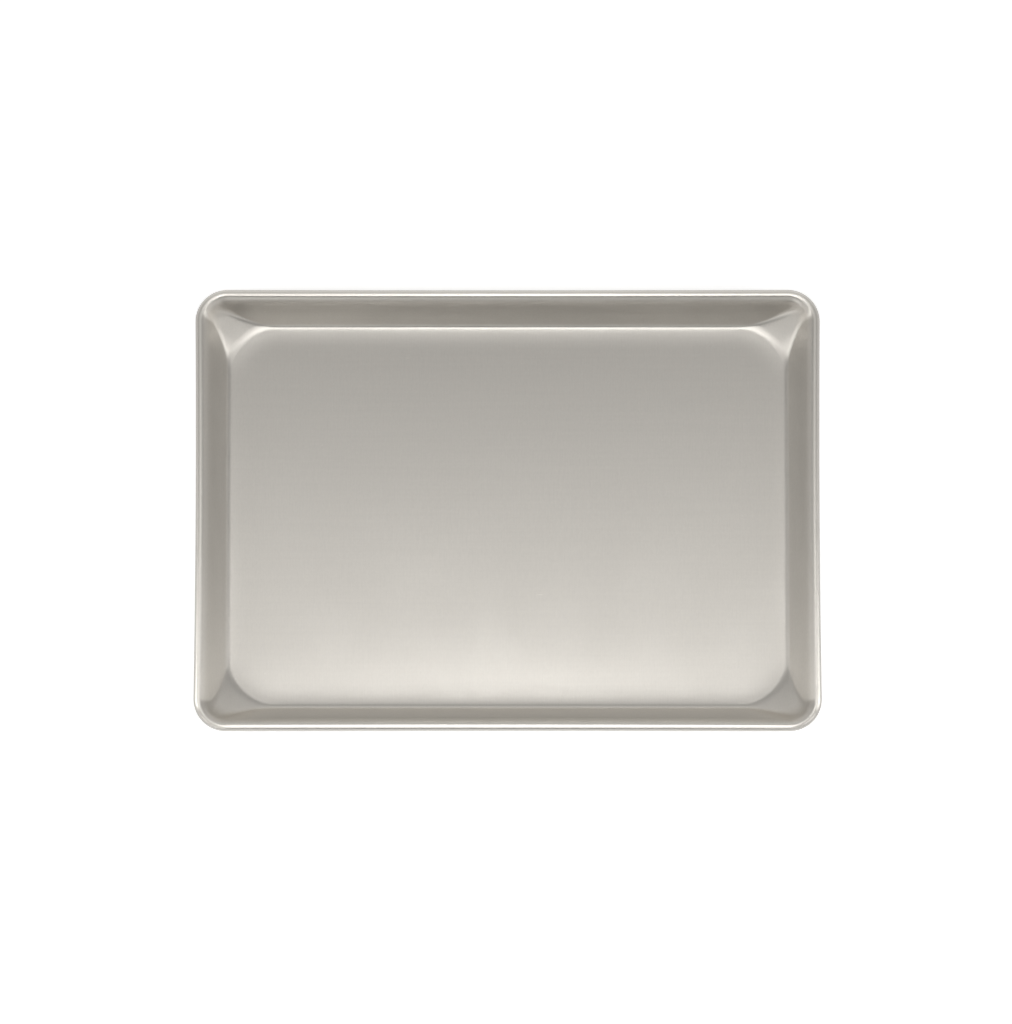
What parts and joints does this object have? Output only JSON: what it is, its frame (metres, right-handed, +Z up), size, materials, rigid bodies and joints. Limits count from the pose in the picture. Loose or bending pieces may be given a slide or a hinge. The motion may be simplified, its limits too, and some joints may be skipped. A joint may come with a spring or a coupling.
{
  "type": "jelly roll pan",
  "caption": "Shallow rectangular baking pan drawn from aluminium sheet, with sloped walls, rounded drawn corners and an edge curled round a steel wire.",
  "frame": {"origin": "under the middle of the floor, on the surface that the pan stands on", "axes": "+X along the pan's long side, +Y towards the back long side where the wire's ends meet, +Z up out of the pan"},
  "size_m": [0.4, 0.288, 0.0254],
  "materials": {
    "pan_sheet": "plain rolled aluminium sheet, satin with a fine grain, brighter on the curled rim",
    "rim_wire": "galvanised round wire, dull"
  },
  "bodies": {
    "root": {"pan_body": "pan_sheet", "rim_wire": "rim_wire"}
  },
  "joints": []
}
